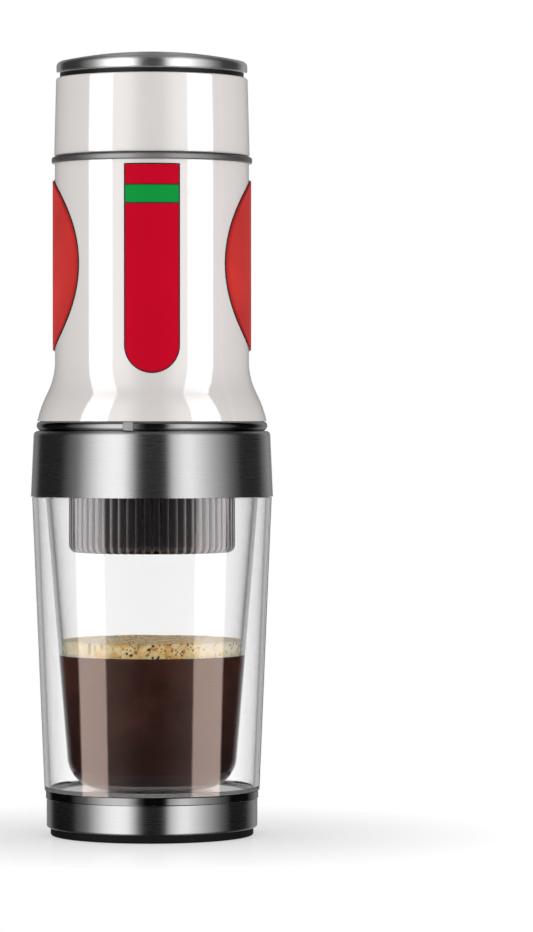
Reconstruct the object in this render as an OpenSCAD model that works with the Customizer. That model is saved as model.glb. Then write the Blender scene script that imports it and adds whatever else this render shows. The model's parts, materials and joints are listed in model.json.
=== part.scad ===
// Portable hand-pumped espresso machine, standing on its own double-walled cup.
// The part stands on z = 0 with its axis on Z, and its front faces -Y.

/* [Base] */
// How far the rubber foot lies inside the base cover
foot_inset = 1.3; // [0.8:0.1:4]
// Height of the rubber foot below the base cover
foot_h = 2.5; // [1.5:0.1:5]
// Radial width of the rubber foot
foot_w = 8; // [4:0.5:10]
// How far the brushed base cover lies inside the cup's foot
base_inset = 0.6; // [0.4:0.05:1.2]
// Height of the brushed base cover
base_h = 9; // [6:0.1:14]
// Sheet thickness of the base cover
base_sheet = 0.8; // [0.5:0.1:1.2]
// Height of the polished ring that carries the clear cup
base_trim_h = 2.6; // [2.2:0.1:4]
// How far the polished ring stands proud of the base cover
base_trim_proud = 0.3; // [0:0.05:0.6]
// Radial width of the polished ring
base_trim_w = 1; // [0.8:0.1:2]

/* [Cup] */
// Radius that the clear outer cup loses from the collar to its foot
cup_taper = 3.8; // [2:0.1:5]
// Height of the outer cup that shows between base and collar
cup_h = 91; // [80:0.5:110]
// Wall of the outer cup
cup_wall = 1.8; // [1.2:0.1:2.2]
// Floor of the outer cup
cup_floor = 2; // [1:0.1:2.4]
// Height of the cup's neck inside the collar
cup_neck_h = 11.5; // [8:0.5:13]
// Wall of the cup's neck
cup_neck_wall = 1.4; // [1:0.1:1.6]
// Wall of the inner cup
inner_wall = 1.5; // [1:0.1:2]
// Air gap between the two cups under the collar
air_gap_top = 2.4; // [2:0.1:4]
// Air gap between the two cups at the floor
air_gap_bottom = 6.1; // [4:0.1:9]
// Gap between the two cups' floors
inner_lift = 0.5; // [0.3:0.1:3]
// Corner radius at the inner cup's floor
inner_corner_r = 10; // [4:0.5:14]
// Thickness of the drinking rim
rim_h = 1.4; // [1:0.1:2]

/* [Collar] */
// Height of the brushed collar
collar_h = 20.3; // [18:0.1:24]
// How far the collar overhangs the cup below it
collar_step = 0.45; // [0.2:0.05:1]
// Radius that the collar loses from its foot to its top
collar_taper = 0.85; // [0:0.05:1.5]
// Sheet thickness of the collar
collar_sheet = 0.9; // [0.6:0.1:1.2]
// Edge radius at the collar's top
collar_round = 1.5; // [1.2:0.1:2]
// Height of the polished ring above the collar
trim_ring_h = 3; // [2:0.1:5]
// How far the polished ring lies inside the collar's top
trim_ring_inset = 0.9; // [0.3:0.1:1.5]
// How far the polished ring's face bulges
trim_ring_bulge = 1.2; // [0.4:0.05:1.4]
// Radial width of the polished ring
trim_ring_w = 2.6; // [2:0.1:3.5]
// Turn of the index tab to the left of the front
tab_angle = 11.7; // [0:0.1:40]
// Width of the index tab
tab_w = 3; // [2:0.1:6]
// Margin between the index tab and the ring's edges
tab_margin = 0.3; // [0.2:0.05:0.6]

/* [Body] */
// Radius of the body, which all other radii follow
body_r = 30.1; // [26:0.1:34]
// Height of the body from the polished ring to the neck ring
body_h = 79.7; // [76:0.1:95]
// Wall of the body shell
body_wall = 2.2; // [1.6:0.1:2.6]
// Height of the flare at the body's foot
flare_h = 18.6; // [17:0.1:24]
// How far the flare spreads beyond the body at its foot
flare_spread = 5.5; // [4.5:0.1:7]
// Radius of the hollow bend at the top of the flare
flare_bend_r = 22; // [16:0.5:26]
// Steepest slope of the flare from the vertical
flare_angle = 27; // [24:0.5:32]
// Height of the thin ring at the body's neck
neck_ring_h = 2; // [1.5:0.1:4]
// How far the neck ring stands proud of the body
neck_ring_proud = 1; // [0:0.1:2]

/* [Colour inlays] */
// Width of the front stripe
stripe_w = 16.5; // [8:0.1:24]
// Height of the stripe's round end above the body's foot
stripe_foot = 14.9; // [12:0.1:30]
// Gap between the stripe and the top of the body
stripe_head_gap = 1.5; // [0.2:0.1:4]
// Height of the cross band on the stripe
band_h = 5.8; // [3:0.1:12]
// Gap between the cross band and the stripe's head
band_drop = 6.1; // [3:0.1:20]
// How far the stripe stands proud of the body
stripe_proud = 0.2; // [0:0.05:0.5]
// Margin between the round side pads and the ends of the straight body
pad_margin = 3.95; // [1:0.05:12]
// How far the side pads lie below the middle of the straight body
pad_drop = 0.85; // [0:0.05:1]
// Turn from the front to the middle of a side pad
pad_angle = 99; // [92:0.5:105]
// How far the side pads stand proud of the body
pad_proud = 0.7; // [0.2:0.05:1.2]
// Depth of the seats of the stripe and pads in the body
inlay_depth = 0.6; // [0.3:0.05:0.9]

/* [Pump head] */
// Height of the pump head below its cap
handle_h = 24.2; // [21:0.1:32]
// How far the pump head stands proud of the body at its foot
handle_proud = 0.2; // [0:0.05:0.8]
// Radius that the pump head loses from foot to top
handle_taper = 0.6; // [0:0.1:1.2]
// Wall of the pump head
handle_wall = 2.2; // [1.6:0.1:2.6]
// Thickness of the pump head's top plate
handle_plate = 4; // [3.6:0.1:6]
// Gap between the pump head and the neck ring
handle_gap = 0.3; // [0.2:0.05:1]
// Height of the brushed cap
cap_h = 6.6; // [5.5:0.1:9]
// Inset of the brushed cap from the pump head's top edge
cap_inset = 0.1; // [0:0.05:0.6]
// Height of the dark seam under the cap
cap_seam = 1.4; // [0.4:0.1:2]
// Sheet thickness of the cap
cap_sheet = 1; // [0.6:0.1:1.4]
// Rise of the cap's crown
cap_crown = 2.9; // [0.4:0.1:3.2]
// Edge radius at the cap's top
cap_round_top = 1.5; // [0.5:0.1:2]
// Edge radius at the cap's foot
cap_round_foot = 0.7; // [0.3:0.1:0.9]

/* [Pump] */
// Stroke of the pump
stroke = 30; // [20:1:34]
// Radial room for the return spring round the pump cylinder
spring_space = 6; // [5:0.1:8]
// Wall of the pump cylinder
cylinder_wall = 1.8; // [1.2:0.1:2.2]
// Depth of the pump cylinder's seat in its base
cylinder_seat = 1.5; // [1:0.1:3]
// Height of the piston
piston_h = 8; // [7:0.1:10]
// Gap under the piston at the bottom of its stroke
piston_gap = 0.8; // [0.4:0.1:2]
// Radius of the piston rod
rod_r = 4; // [3.4:0.1:4.6]
// Thickness of the cylinder cap's plate
cylinder_cap_plate = 4.5; // [3:0.1:6]
// Thickness of the pump base
pump_base_h = 5; // [4.5:0.1:7]
// Wall of the guide bush
bush_wall = 3.3; // [2.9:0.1:3.6]
// Height of the guide bush
bush_h = 14; // [11:0.1:16]
// Wall of the plunger tube
plunger_wall = 2; // [1.4:0.1:2.4]
// Twist that locks the pump head down
lock_twist = 35; // [20:1:45]
// Wire radius of the return spring
spring_wire_r = 1; // [0.7:0.05:1.1]
// Number of turns of the return spring
spring_turns = 10; // [7:1:11]

/* [Water tank] */
// Height of the water tank
tank_h = 39.6; // [36:0.1:44]
// Wall of the water tank
tank_wall = 1; // [0.8:0.1:1.6]
// Thickness of the tank's top
tank_top = 1.6; // [1:0.1:2.4]

/* [Filter] */
// How far the ribbed grip lies inside the body's radius
grip_inset = 4.3; // [3.2:0.1:5]
// How far the filter holder hangs below the collar
holder_drop = 17.3; // [14:0.1:20]
// Number of ribs round the grip
rib_count = 60; // [36:1:72]
// Depth of the grooves between the ribs
rib_depth = 0.35; // [0.2:0.05:0.6]
// Thickness of the ribbed grip sleeve
grip_wall = 1.4; // [1.2:0.1:1.8]
// Edge radius at the grip's foot
grip_round = 2.4; // [1.5:0.1:3]
// Wall of the filter holder at its thread
holder_wall = 1.4; // [1:0.1:2]
// Floor of the filter holder
holder_floor = 2.4; // [1.8:0.1:3.5]
// Length of the threaded spigot
spigot_h = 8.7; // [6:0.1:10]
// Wall of the threaded spigot
spigot_wall = 2.2; // [2:0.1:3.4]
// Wall of the filter basket
basket_wall = 0.7; // [0.5:0.1:1]
// Hole radius of the filter plate
plate_hole_r = 0.5; // [0.3:0.05:0.8]

/* [Hidden] */
$fn = 96;
// Clearances
slide_gap = 0.08;
glue_gap = 0.1;
loose_gap = 0.3;
cut = 1;

// Heights from the floor up to the collar
z_base = foot_h;
z_base_trim = z_base + base_h;
z_cup = z_base_trim + base_trim_h;
z_collar = z_cup + cup_h;
z_shoulder = z_collar - loose_gap;
z_rim = z_collar + cup_neck_h;
z_rim_top = z_rim + rim_h;

// Radii from the body's flare out to the collar
flare_lip = 0.3;
flare_r = body_r + flare_spread;
trim_r = flare_r + flare_lip;
collar_r_top = trim_r + trim_ring_inset;
collar_r_bottom = collar_r_top + collar_taper;
z_collar_top = z_collar + collar_h;

// Radii from the collar down to the foot, and of the two cups
cup_r_top = collar_r_bottom - collar_step;
cup_r_bottom = cup_r_top - cup_taper;
base_r = cup_r_bottom - base_inset;
base_in = base_r - base_sheet;
base_round = base_sheet;
base_lip_w = 1.5;
foot_r = base_r - foot_inset;
foot_round = 0.6;
base_opening_r = foot_r - foot_w - base_lip_w;
base_trim_r = base_r + base_trim_proud;
base_trim_in = base_trim_r - base_trim_w;
base_trim_round = 0.3;
cup_chamfer = 1.2;
function collar_in(z) = collar_r_bottom - collar_sheet - collar_taper * (z - z_collar) / collar_h;
cup_neck_r = collar_in(z_rim_top) - loose_gap;
cup_neck_in = cup_neck_r - cup_neck_wall;
cup_neck_foot_r = collar_in(z_collar) - loose_gap;
z_inner = z_cup + inner_lift;
inner_r_top = cup_r_top - cup_wall - air_gap_top;
inner_r_bottom = cup_r_bottom - cup_wall - air_gap_bottom;
inner_slope = (inner_r_top - inner_r_bottom) / (z_collar - z_inner);
inner_lean = atan(inner_slope);
function inner_cup_r(z) = inner_r_bottom + inner_slope * (z - z_inner);
rim_seal_h = 3;

// Collar, brew head and trim ring
z_lip = z_collar_top - collar_sheet;
lip_r = trim_r - trim_ring_w;
head_neck_r = lip_r - glue_gap;
tab_depth = 0.8;
z_body = z_collar_top + trim_ring_h;
gasket_h = 1.2;
z_head = z_rim_top + gasket_h;
head_spigot_h = 1.6;
head_chamfer_w = 2;
head_chamfer_h = 3;
gasket_margin = 0.4;
z_head_top = z_body + head_spigot_h;

// Body shell
shell_in = body_r - body_wall;
z_neck = z_body + body_h;
z_flare = z_body + flare_h;
flare_dir = [cos(flare_angle), sin(flare_angle)];
flare_c1 = [body_r + flare_bend_r, z_flare];
flare_mid = flare_c1 - flare_bend_r * flare_dir;
flare_chord = [flare_r, z_body] - flare_mid;
flare_foot_r = -(flare_chord * flare_chord) / (2 * flare_chord * flare_dir);
flare_c2 = flare_mid - flare_foot_r * flare_dir;
neck_ring_r = body_r + neck_ring_proud;
neck_ring_round = 0.6;
inlay_r = body_r - inlay_depth;
pad_r = (body_h - flare_h) / 2 - pad_margin;
z_pad = (z_flare + z_neck) / 2 - pad_drop;

// Screws that draw the brew head up against the body
body_screw_r = 1.5;
body_screw_head_r = 2.7;
body_screw_head_h = 2;
body_screw_sink = 2.6;
body_boss_r = 2.6;
body_boss_h = 5.5;
body_boss_end = 1;
body_screw_end = 1.2;
body_socket_r = 1.25;
body_socket_h = 1.2;
screw_overlap = 0.5;
body_screw_circle = shell_in + body_boss_r;
body_screw_angles = [30, 150, 270];

// Tank and pump base
tank_r = shell_in - loose_gap;
tank_in = tank_r - tank_wall;
tank_groove_margin = 1.4;
tank_groove_w = tank_wall + tank_groove_margin;
tank_round = 1.5;
z_tank_top = z_body + tank_h;
z_pump = z_tank_top + pump_base_h;
pump_base_r = shell_in - glue_gap;
shoulder_h = 2.5;
shoulder_w = 1.8;
valve_boss_r = 6;
valve_boss_h = 10;
valve_chamber_r = 3.3;
valve_port_r = 1.5;
valve_ball_r = 2.5;
valve_land = 1.2;
valve_seat_gap = 0.02;
valve_spring_r = 1.7;
valve_wire_r = 0.2;
valve_turns = 4;
z_valve_seat = z_tank_top + valve_land;
z_valve_foot = z_tank_top - valve_boss_h;
z_valve_ball = z_valve_seat - valve_seat_gap
    - sqrt(valve_ball_r * valve_ball_r - valve_port_r * valve_port_r);
retainer_h = 2.4;
retainer_hole_r = 1.2;
seal_r = 0.9;
base_seal_inset = 0.5;
base_seal_mid = valve_boss_r + seal_r + base_seal_inset;
base_seal_groove = 1.5;

// Guide bush and plunger tube, and the room that they leave for the cylinder
bush_r = shell_in - glue_gap;
bush_in = bush_r - bush_wall;
z_bush = z_neck - bush_h;
plunger_r = bush_in - slide_gap;
plunger_in = plunger_r - plunger_wall;
plunger_plate = 2.2;
plunger_boss_r = 3;
plunger_boss_h = 4;
plunger_screw_end = 1.5;
plunger_lift = 3;
z_plunger = z_pump + plunger_lift;

// Pump cylinder, piston and rod
cylinder_cap_w = 1.6;
cylinder_cap_r = plunger_in - spring_space;
cylinder_r = cylinder_cap_r - cylinder_cap_w;
bore_r = cylinder_r - cylinder_wall;
z_cylinder = z_pump - cylinder_seat;
z_piston = z_pump + piston_gap;
z_piston_top = z_piston + piston_h;
z_cylinder_cap = z_piston_top + stroke + loose_gap;
z_cap_plate_top = z_cylinder_cap + cylinder_cap_plate;
cylinder_cap_skirt = 3;
rod_bush_wall = 2;
rod_bush_r = rod_r + rod_bush_wall;
vent_r = 1;
vent_angles = [30, 150, 270];
piston_r = bore_r - loose_gap;
piston_groove_h = 3.5;
piston_groove_d = 2.4;
piston_land = 1.6;
z_piston_groove = z_piston_top - piston_land - piston_groove_h;
seal_root_w = 0.9;
seal_lip_w = 0.8;
seal_lip_lean = 0.3;
seal_cup_h = 1.4;
stud_step = 1;
stud_r = rod_r - stud_step;
stud_end = 2;
nut_w = 2.2;
nut_r = stud_r + nut_w;
nut_h = 2.4;
nut_sink = 0.2;
rod_collar_w = 2;
rod_collar_r = rod_r + rod_collar_w;
rod_collar_h = 1.3;
rod_collar_gap = 0.4;
z_rod_collar = z_cap_plate_top + rod_collar_gap;
rod_boss_gap = 0.2;
z_rod_boss = z_rod_collar + rod_collar_h + rod_boss_gap;

// Pump head, plunger tube and cap
z_handle = z_neck + neck_ring_h + handle_gap;
z_handle_top = z_handle + handle_h;
z_plate = z_handle_top - handle_plate;
handle_r = body_r + handle_proud;
handle_r_top = handle_r - handle_taper;
handle_round = 0.6;
rod_boss_wall = 3.5;
rod_boss_r = rod_r + rod_boss_wall;
washer_h = 1;
washer_w = 2.4;
washer_r = rod_r + washer_w;
rod_screw_head_h = 1.8;
rod_screw_r = 1.9;
rod_screw_len = 9;
rod_screw_end = 1;
rod_socket_r = 1.6;
socket_floor = 0.6;
rod_recess_gap = 0.4;
rod_recess = washer_h + rod_screw_head_h + rod_recess_gap;
rod_recess_margin = 0.8;
rod_recess_r = washer_r + rod_recess_margin;
rod_proud = 0.1;
z_rod_top = z_handle_top - rod_recess + rod_proud;
z_plunger_plate = z_plate - plunger_plate;
lug_proud = 2;
lug_r = plunger_r + lug_proud;
lug_h = 3;
lug_angle = 12;
lug_angles = [20, 140, 260];
lug_roof = 4;
pocket_gap = 0.2;
channel_gap_angle = 2;
channel_r = lug_r + loose_gap;
z_lug = z_neck - lug_roof - pocket_gap - lug_h;
neck_ring_gap = 0.4;
neck_ring_in = lug_r + neck_ring_gap;
handle_screw_r = 1.25;
handle_screw_head_r = 2.4;
handle_screw_head_h = 1.4;
handle_screw_sink = 1.8;
handle_socket_r = 1.1;
spring_seat_h = 1.2;
spring_seat_margin = 1;
spring_r = (cylinder_cap_r + plunger_in) / 2;
spring_seat_half = spring_wire_r + spring_seat_margin;
handle_screw_circle = (rod_recess_r + spring_r - spring_seat_half) / 2;
handle_screw_angles = [90, 210, 330];
z_cap = z_handle_top + cap_seam;
z_top = z_cap + cap_h;
cap_r = handle_r_top - cap_inset;
cap_in = cap_r - cap_sheet;
cap_edge_r = cap_r - cap_round_top;
crown_r = (cap_edge_r * cap_edge_r + cap_crown * cap_crown) / (2 * cap_crown);
crown_mid = [0, z_top - crown_r];
crown_angle = acos(cap_edge_r / (crown_r - cap_round_top));
crown_steps = 24;
carrier_r = cap_in - glue_gap;
carrier_key_gap = 2;
carrier_key_w = 2;
carrier_key_r = handle_screw_circle + handle_screw_head_r + carrier_key_gap + carrier_key_w;
carrier_key_h = 1.4;
carrier_key_sink = 0.2;

// Filter holder, basket and screens
grip_r = body_r - grip_inset;
thread_gap = 0.2;
spigot_r = grip_r - grip_wall - holder_wall - thread_gap;
spigot_in = spigot_r - spigot_wall;
z_spigot = z_head - spigot_h;
z_basket_top = z_spigot - gasket_h;
basket_rim_h = 1;
z_ledge = z_basket_top - basket_rim_h;
z_grip = z_collar - holder_drop;
holder_top_gap = 0.6;
z_holder_top = z_head - holder_top_gap;
holder_r = grip_r - grip_wall - glue_gap;
holder_bore = holder_r + glue_gap - holder_wall;
holder_funnel_h = 1.6;
grip_lip = 0.4;
grip_top_round = 0.5;
basket_rim_r = holder_bore - loose_gap;
screen_gap = 0.5;
screen_seat = 0.7;
screen_flange_r = spigot_in - screen_gap;
basket_in = screen_flange_r - screen_seat;
basket_r = basket_in + basket_wall;
holder_ledge_r = basket_r + loose_gap;
basket_lift = 0.4;
z_basket = z_grip + holder_floor + holder_funnel_h + basket_lift;
basket_ledge_w = 2;
basket_overlap = 0.3;
filter_plate_h = 0.6;
plate_gap = 0.2;
plate_pitch = 3;
plate_rim = 2;
screen_r = basket_in - plate_gap;
screen_h = 0.6;
screen_hole_r = 0.7;
screen_pitch = 3.8;
screen_rim = 1.2;
screen_lip_h = 0.7;
nozzle_r = 4.5;
nozzle_bore_r = 1.5;
nozzle_rim = 1.2;
nozzle_drop = 0.2;
rib_cutter_r = 0.4;

// Rectangle of a revolved profile between two radii and two heights
module band(r_in, r_out, z0, z1) {
    translate([r_in, z0]) square([r_out - r_in, z1 - z0]);
}

// Tool that rounds an outer corner whose arc has its middle at the origin
module corner(r) {
    difference() {
        square(r + cut);
        circle(r);
    }
}

// Band with its outer edges rounded at the top and at the foot
module round_band(r_in, r_out, z0, z1, top, foot) {
    difference() {
        band(r_in, r_out, z0, z1);
        if (top > 0) translate([r_out - top, z1 - top]) corner(top);
        if (foot > 0) translate([r_out - foot, z0 + foot]) mirror([0, 1]) corner(foot);
    }
}

// Plain ring about the part's axis
module ring(r_in, r_out, z0, z1) {
    rotate_extrude() band(r_in, r_out, z0, z1);
}

// Part of a ring from angle a0 to angle a1
module ring_sector(r_in, r_out, z0, z1, a0, a1) {
    rotate([0, 0, a0]) rotate_extrude(angle = a1 - a0) band(r_in, r_out, z0, z1);
}

// Upright cylinder on the part's axis
module disc(r, z0, z1) {
    translate([0, 0, z0]) cylinder(r = r, h = z1 - z0);
}

// One upright cylinder at each angle of a circle
module posts(angles, circle_r, r, z0, z1) {
    for (a = angles) rotate([0, 0, a]) translate([circle_r, 0, 0]) disc(r, z0, z1);
}

// Rings of holes, each ring holding six more than the one inside it
module hole_rings(rings, pitch, r, z0, z1) {
    disc(r, z0, z1);
    for (k = [1 : rings]) posts([for (i = [0 : 6 * k - 1]) i * 60 / k], k * pitch, r, z0, z1);
}

// O-ring of round section
module o_ring(mid_r, r, z) {
    rotate_extrude() translate([mid_r, z]) circle(r, $fn = 32);
}

// Points of an arc in the profile plane
function arc(c, r, a0, a1, steps) = [for (i = [0 : steps]) c + r * [cos(a0 + (a1 - a0) * i / steps),
    sin(a0 + (a1 - a0) * i / steps)]];

// Outline extruded from the axis towards the front
module front_prism(turn, reach) {
    rotate([0, 0, turn]) rotate([90, 0, 0]) linear_extrude(reach) children();
}

// Height of a spring's wire after t turns, with one closed turn at each end
spring_close = 0.6;
function spring_z(t, turns, length, wire_r) =
    let (flat = 2 * wire_r + spring_close)
    t < 1 ? flat * t
    : t > turns - 1 ? length - flat * (turns - t)
    : flat + (length - 2 * flat) * (t - 1) / (turns - 2);
function spring_point(i, steps, mid_r, turns, length, wire_r) =
    [mid_r * cos(360 * i / steps), mid_r * sin(360 * i / steps), spring_z(i / steps, turns, length, wire_r)];

// Compression spring as one unbroken tube, standing on z0
spring_steps = 8;
spring_sides = 6;
module coil_spring(label, mid_r, wire_r, turns, z0, z1) {
    length = z1 - z0 - 2 * wire_r;
    rings = turns * spring_steps;
    middle = [for (i = [0 : rings]) spring_point(i, spring_steps, mid_r, turns, length, wire_r)];
    gaps = [for (i = [0 : rings - spring_steps]) norm(middle[i + spring_steps] - middle[i]) - 2 * wire_r];
    echo(str(label, " least gap between turns: ", min(gaps), " mm"));
    points = [for (i = [0 : rings]) for (s = [0 : spring_sides - 1])
        let (a = 360 * i / spring_steps, b = 360 * s / spring_sides)
        middle[i] + wire_r * [cos(b) * cos(a), cos(b) * sin(a), sin(b)]];
    walls = [for (i = [0 : rings - 1]) for (s = [0 : spring_sides - 1])
        let (p = i * spring_sides + s, q = i * spring_sides + (s + 1) % spring_sides)
        each [[p, q, q + spring_sides], [p, q + spring_sides, p + spring_sides]]];
    last = rings * spring_sides;
    ends = [for (s = [1 : spring_sides - 2]) each [[0, s + 1, s], [last, last + s, last + s + 1]]];
    translate([0, 0, z0 + wire_r]) polyhedron(points, concat(walls, ends));
}

// Cup and base

module rubber_foot() {
    color("#1b1b1d") rotate_extrude()
        round_band(foot_r - foot_w, foot_r, 0, z_base, 0, foot_round);
}

module base_cover() {
    color("#b9bcc0") rotate_extrude() difference() {
        round_band(base_opening_r, base_r, z_base, z_base_trim, 0, base_round);
        band(0, base_in, z_base + base_sheet, z_base_trim + cut);
    }
}

module base_insert() {
    color("#c7cacd") {
        disc(base_in - glue_gap, z_base + base_sheet, z_cup - cup_floor);
        disc(base_opening_r - glue_gap, z_base, z_base + base_sheet + cut);
    }
}

module base_trim_ring() {
    color("#8f9296") rotate_extrude()
        round_band(base_trim_in, base_trim_r, z_base_trim, z_cup, base_trim_round, base_trim_round);
}

module outer_cup() {
    plug_r = base_trim_in - glue_gap;
    color("#dfe6ea", 0.35) rotate_extrude() polygon([
        [0, z_cup - cup_floor], [plug_r, z_cup - cup_floor], [plug_r, z_cup], [cup_r_bottom, z_cup],
        [cup_r_top, z_shoulder], [cup_neck_foot_r, z_shoulder], [cup_neck_r, z_rim], [cup_neck_in, z_rim],
        [cup_r_top - cup_wall, z_shoulder], [cup_r_bottom - cup_wall, z_cup + cup_chamfer],
        [cup_r_bottom - cup_wall - cup_chamfer, z_cup], [0, z_cup]]);
}

// Points of the inner cup's surface, set in from its outside, from the floor's middle to the wall's top
function inner_outline(inset, top) =
    let (r = inner_corner_r - inset,
         floor_z = z_inner + inner_corner_r,
         mid = [inner_cup_r(floor_z) - inner_corner_r / cos(inner_lean), floor_z])
    concat([[0, z_inner + inset]], arc(mid, r, -90, -inner_lean, 12),
        [[inner_cup_r(top) - inset / cos(inner_lean), top]]);

module inner_cup() {
    outside = inner_outline(0, z_rim);
    inside = inner_outline(inner_wall, z_rim_top);
    rim = [[cup_neck_r, z_rim], [cup_neck_r, z_rim_top]];
    color("#e8eef0", 0.35) rotate_extrude()
        polygon(concat(outside, rim, [for (i = [len(inside) - 1 : -1 : 0]) inside[i]]));
}

module rim_seal() {
    color("#d8d8d4")
        ring(inner_cup_r(z_rim) + glue_gap, cup_neck_in - glue_gap / 2, z_rim - rim_seal_h, z_rim);
}

// Collar and brew head

module steel_collar() {
    top_mid = [collar_r_top - collar_round, z_collar_top - collar_round];
    color("#b9bcc0") rotate_extrude() polygon(concat(
        [[collar_r_bottom - collar_sheet, z_collar], [collar_r_bottom, z_collar]],
        arc(top_mid, collar_round, 0, 90, 8),
        [[lip_r, z_collar_top], [lip_r, z_lip], [collar_in(z_lip), z_lip]]));
}

// Outline of the index tab's seat on the polished ring
module tab_seat(grow) {
    rotate([0, 0, -tab_angle])
        translate([-tab_w / 2 - grow, -trim_r - cut, z_collar_top + tab_margin - grow])
        cube([tab_w + 2 * grow, cut + trim_ring_bulge + tab_depth + grow,
            trim_ring_h - 2 * tab_margin + 2 * grow]);
}

module collar_trim_ring() {
    half = trim_ring_h / 2;
    bulge_r = (half * half + trim_ring_bulge * trim_ring_bulge) / (2 * trim_ring_bulge);
    color("#d5d8db") difference() {
        rotate_extrude() intersection() {
            band(lip_r, trim_r + cut, z_collar_top, z_body);
            union() {
                band(lip_r, trim_r - trim_ring_bulge, z_collar_top, z_body);
                translate([trim_r - bulge_r, z_collar_top + half]) circle(bulge_r);
            }
        }
        tab_seat(glue_gap);
    }
}

module index_tab() {
    color("#ededeb") intersection() {
        tab_seat(0);
        ring(lip_r, trim_r, z_collar_top, z_body, $fn = 360);
    }
}

module brew_head() {
    groove_out = tank_r + glue_gap;
    groove_in = tank_r - tank_groove_w;
    groove_z = z_body - gasket_h;
    color("#3a3b3d") difference() {
        rotate_extrude() polygon([
            [spigot_in, z_spigot], [spigot_r, z_spigot], [spigot_r, z_head],
            [collar_in(z_head) - glue_gap, z_head], [collar_in(z_lip) - glue_gap, z_lip],
            [head_neck_r, z_lip], [head_neck_r, z_head_top], [groove_out, z_head_top], [groove_out, groove_z],
            [groove_in, groove_z], [groove_in, z_head_top], [spigot_in + head_chamfer_w, z_head_top],
            [spigot_in, z_head_top - head_chamfer_h]]);
        posts(body_screw_angles, body_screw_circle, body_screw_r + glue_gap, z_head - cut, z_head_top + cut);
        posts(body_screw_angles, body_screw_circle, body_screw_head_r + loose_gap, z_head - cut,
            z_head + body_screw_sink);
    }
}

module cup_gasket() {
    screw_reach = body_screw_circle + body_screw_head_r + loose_gap;
    color("#c9c9c4") ring(screw_reach + glue_gap, cup_neck_r, z_rim_top, z_head);
}

module brew_gasket() {
    color("#c9c9c4") ring(spigot_in + gasket_margin, spigot_r - thread_gap, z_basket_top, z_spigot);
}

module body_screws() {
    z_seat = z_head + body_screw_sink;
    color("#9a9da1") for (a = body_screw_angles) rotate([0, 0, a]) translate([body_screw_circle, 0, 0])
        difference() {
            union() {
                disc(body_screw_head_r, z_seat - body_screw_head_h, z_seat);
                disc(body_screw_r, z_seat - screw_overlap, z_head_top + body_boss_h - body_screw_end);
            }
            translate([0, 0, z_seat - body_screw_head_h - cut])
                cylinder(r = body_socket_r, h = cut + body_socket_h, $fn = 6);
        }
}

// Body

// Profile of the body's outside, set in by a wall, from the axis out
module body_outline(inset) {
    z_mid = flare_mid[1] - inset * flare_dir[1];
    band(0, body_r - inset, z_mid, z_neck);
    difference() {
        band(0, flare_r, z_mid, z_flare);
        translate(flare_c1) circle(flare_bend_r + inset);
    }
    intersection() {
        band(0, flare_r + cut, z_body, z_mid);
        translate(flare_c2) circle(flare_foot_r - inset);
    }
}

// Outline of the front stripe, from its round end to its head
module stripe_outline(shrink) {
    half = stripe_w / 2;
    z_round = z_body + stripe_foot + half;
    z_end = z_neck - stripe_head_gap - shrink;
    translate([0, z_round]) circle(half - shrink);
    translate([shrink - half, z_round]) square([stripe_w - 2 * shrink, z_end - z_round]);
}

// Round pad outline as it looks along its middle when wrapped on the body
module pad_outline(shrink) {
    r = pad_r - shrink;
    polygon([for (a = [0 : 6 : 354]) [body_r * sin(r * cos(a) / body_r * 180 / PI), z_pad + r * sin(a)]]);
}

// Seat for an inlay, cut into the body from outside
module inlay_seat(turn) {
    difference() {
        front_prism(turn, body_r + cut) children();
        disc(inlay_r, z_body, z_neck + cut);
    }
}

// Skin of the given outline that lies in its seat and stands proud
module inlay_skin(turn, proud) {
    intersection() {
        front_prism(turn, body_r + 2 * cut) children();
        ring(inlay_r, body_r + proud, z_body, z_neck);
    }
}

module body_shell() {
    color("#f1f0ee") difference() {
        union() {
            rotate_extrude() {
                difference() {
                    body_outline(0);
                    body_outline(body_wall);
                    band(0, shell_in, z_neck - cut, z_neck + cut);
                    band(0, trim_r - trim_ring_w + glue_gap, z_body - cut, z_head_top);
                }
                band(shell_in - shoulder_w, shell_in + cut, z_pump, z_pump + shoulder_h);
                band(shell_in - shoulder_w, shell_in + cut, z_bush - shoulder_h, z_bush);
            }
            intersection() {
                posts(body_screw_angles, body_screw_circle, body_boss_r, z_head_top,
                    z_head_top + body_boss_h);
                rotate_extrude() body_outline(body_wall / 2);
            }
        }
        posts(body_screw_angles, body_screw_circle, body_screw_r + slide_gap, z_head_top - cut,
            z_head_top + body_boss_h - body_boss_end);
        inlay_seat(0) stripe_outline(0);
        inlay_seat(pad_angle) pad_outline(0);
        inlay_seat(-pad_angle) pad_outline(0);
    }
}

module neck_ring() {
    color("#8f9296") rotate_extrude()
        round_band(neck_ring_in, neck_ring_r, z_neck, z_neck + neck_ring_h, neck_ring_round, neck_ring_round);
}

// Space of the cross band along the stripe
module band_outline(grow) {
    translate([-stripe_w, z_neck - band_drop - band_h - grow - stripe_head_gap])
        square([2 * stripe_w, band_h + 2 * grow]);
}

module stripe_inlay() {
    color("#c10028") inlay_skin(0, stripe_proud) difference() {
        stripe_outline(glue_gap);
        band_outline(glue_gap / 2);
    }
}

module stripe_band() {
    color("#149641") inlay_skin(0, stripe_proud) intersection() {
        stripe_outline(glue_gap);
        band_outline(-glue_gap / 2);
    }
}

module side_pad_left() {
    color("#c8302a") inlay_skin(-pad_angle, pad_proud) pad_outline(glue_gap);
}

module side_pad_right() {
    color("#c8302a") inlay_skin(pad_angle, pad_proud) pad_outline(glue_gap);
}

// Water tank and pump

module water_tank() {
    color("#c4c7ca") rotate_extrude() difference() {
        round_band(valve_boss_r + glue_gap, tank_r, z_body, z_tank_top, tank_round, 0);
        band(0, tank_in, z_body - cut, z_tank_top - tank_top);
    }
}

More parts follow.
